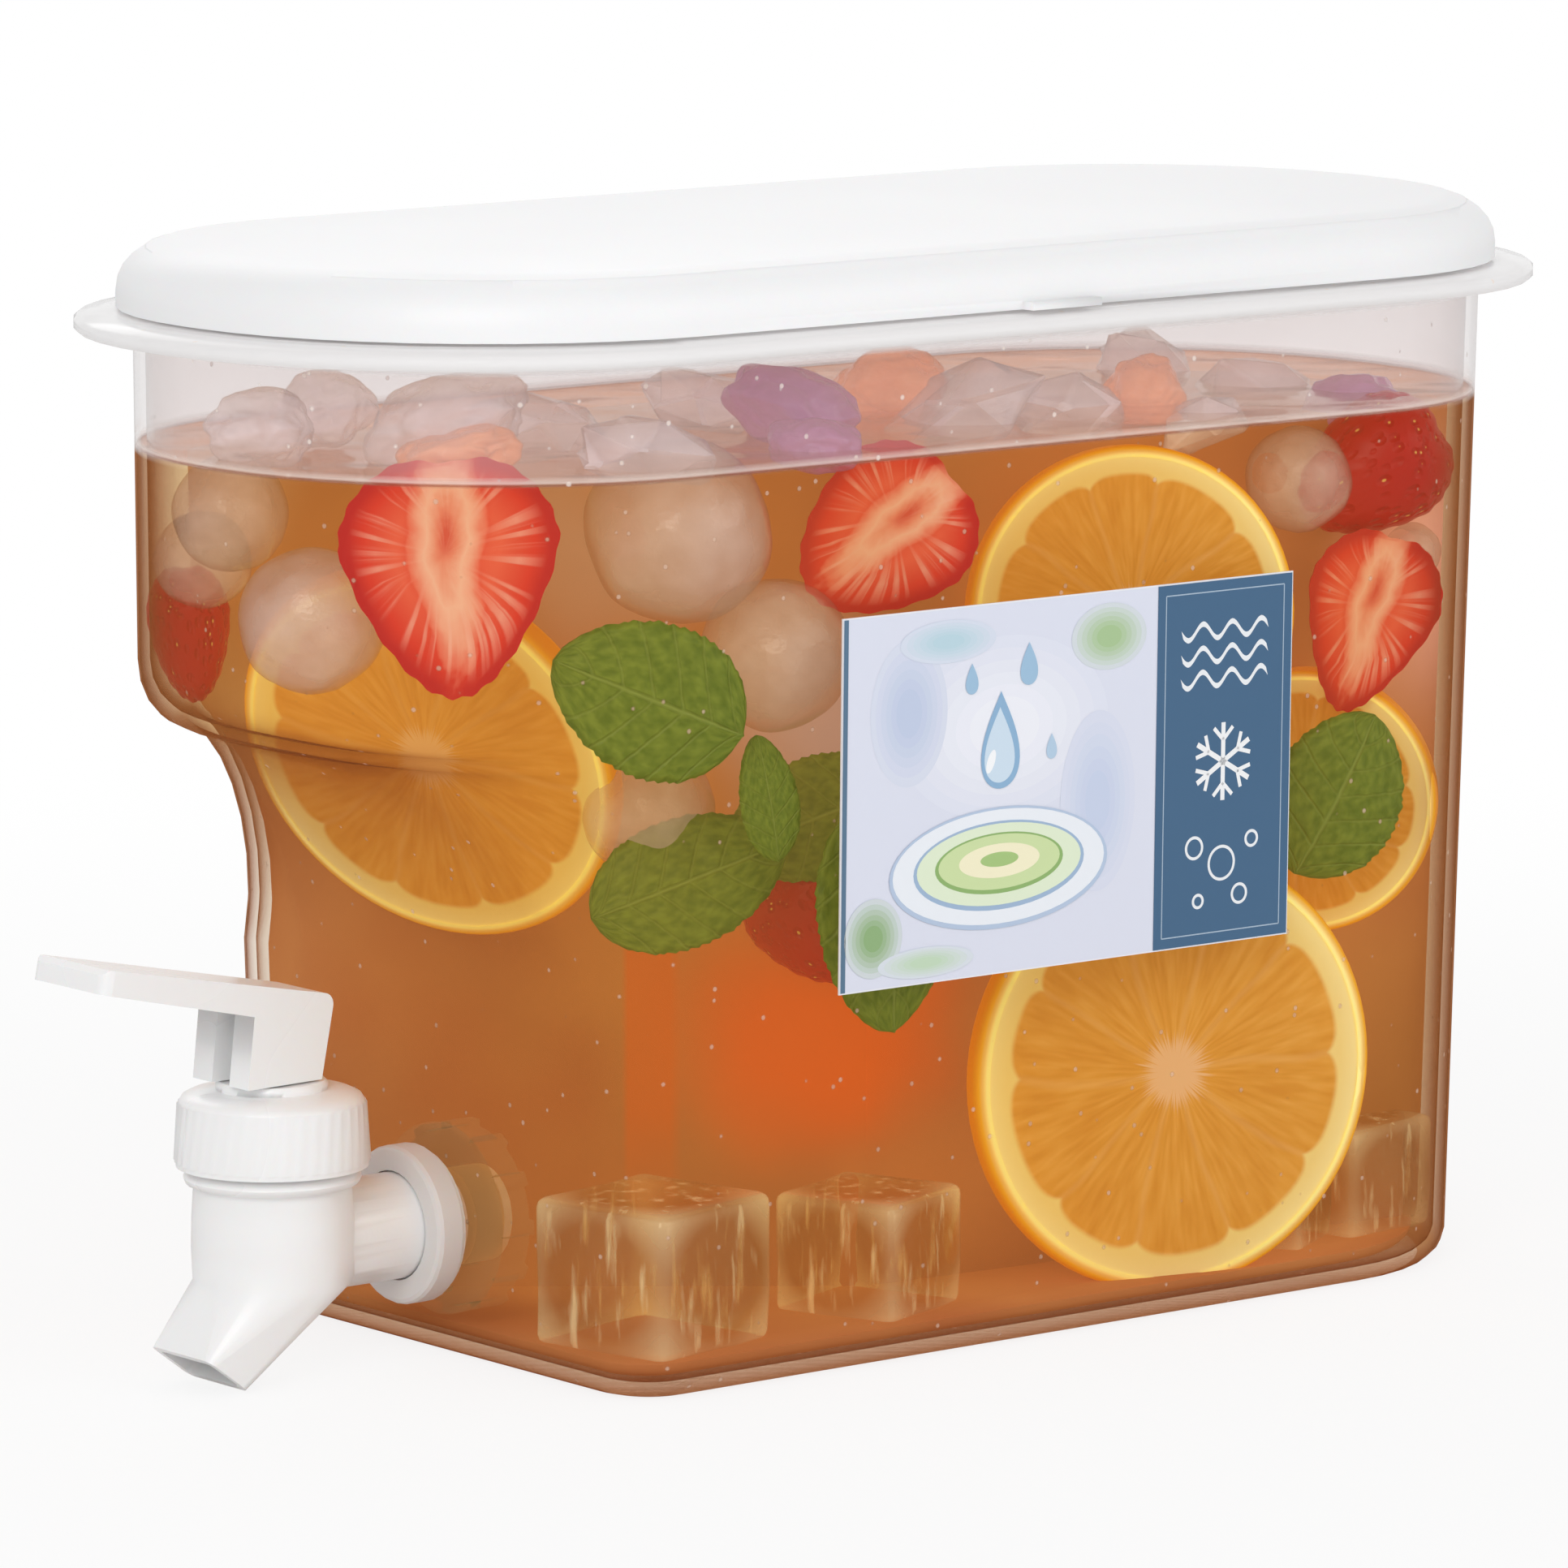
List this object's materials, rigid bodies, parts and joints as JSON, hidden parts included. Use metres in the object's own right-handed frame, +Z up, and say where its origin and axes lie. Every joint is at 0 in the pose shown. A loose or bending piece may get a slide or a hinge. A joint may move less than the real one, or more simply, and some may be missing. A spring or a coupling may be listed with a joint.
{
  "type": "fridge water jug with tap",
  "caption": "Long, narrow clear plastic fridge jug with a stepped front, a white lift-off lid and a white lever tap low on its front end.",
  "frame": {"origin": "underside of the base, below the middle of the rim", "axes": "+X along the jug's length, away from the tap; +Y across it, away from the label; +Z up"},
  "size_m": [0.2881, 0.1282, 0.1815],
  "materials": {
    "tank_clear": "clear with a slight haze, glossy outside",
    "lid_white": "satin white",
    "tap_white": "satin white",
    "label_film": "printed film in pale lavender and slate blue",
    "silicone": "matt, milky",
    "spring_steel": "bright drawn wire"
  },
  "bodies": {
    "jug": {"tank": "tank_clear", "label_sticker": "label_film", "tap_body": "tap_white", "shank_washer": "tap_white", "outer_seal": "silicone", "inner_seal": "silicone", "lock_nut": "tap_white", "collar_nut": "tap_white", "seat_cup": "silicone", "return_spring": "spring_steel"},
    "lid": {"lid": "lid_white"},
    "stem": {"valve_stem": "tap_white"},
    "lever": {"tap_lever": "tap_white"}
  },
  "joints": [
    {"name": "lid_lift", "type": "slide", "parent": "jug", "child": "lid", "axis": [0, 0, 1], "range_m": [0, 0.12]},
    {"name": "stem_lift", "type": "slide", "parent": "jug", "child": "stem", "axis": [0, 0, 1], "range_m": [0, 0.0032], "stiffness_N_per_m": 60, "springref_m": -0.004, "deforming": ["return_spring", "seat_cup"]},
    {"name": "lever_press", "type": "hinge", "parent": "stem", "child": "lever", "pos_m": [-0.11335, 0, 0.0557], "axis": [0, -1, 0], "range_deg": [0, 20]}
  ],
  "couplings": [
    {"joint": "lever_press", "follows": "stem_lift", "rad_per_m": 108.7}
  ]
}
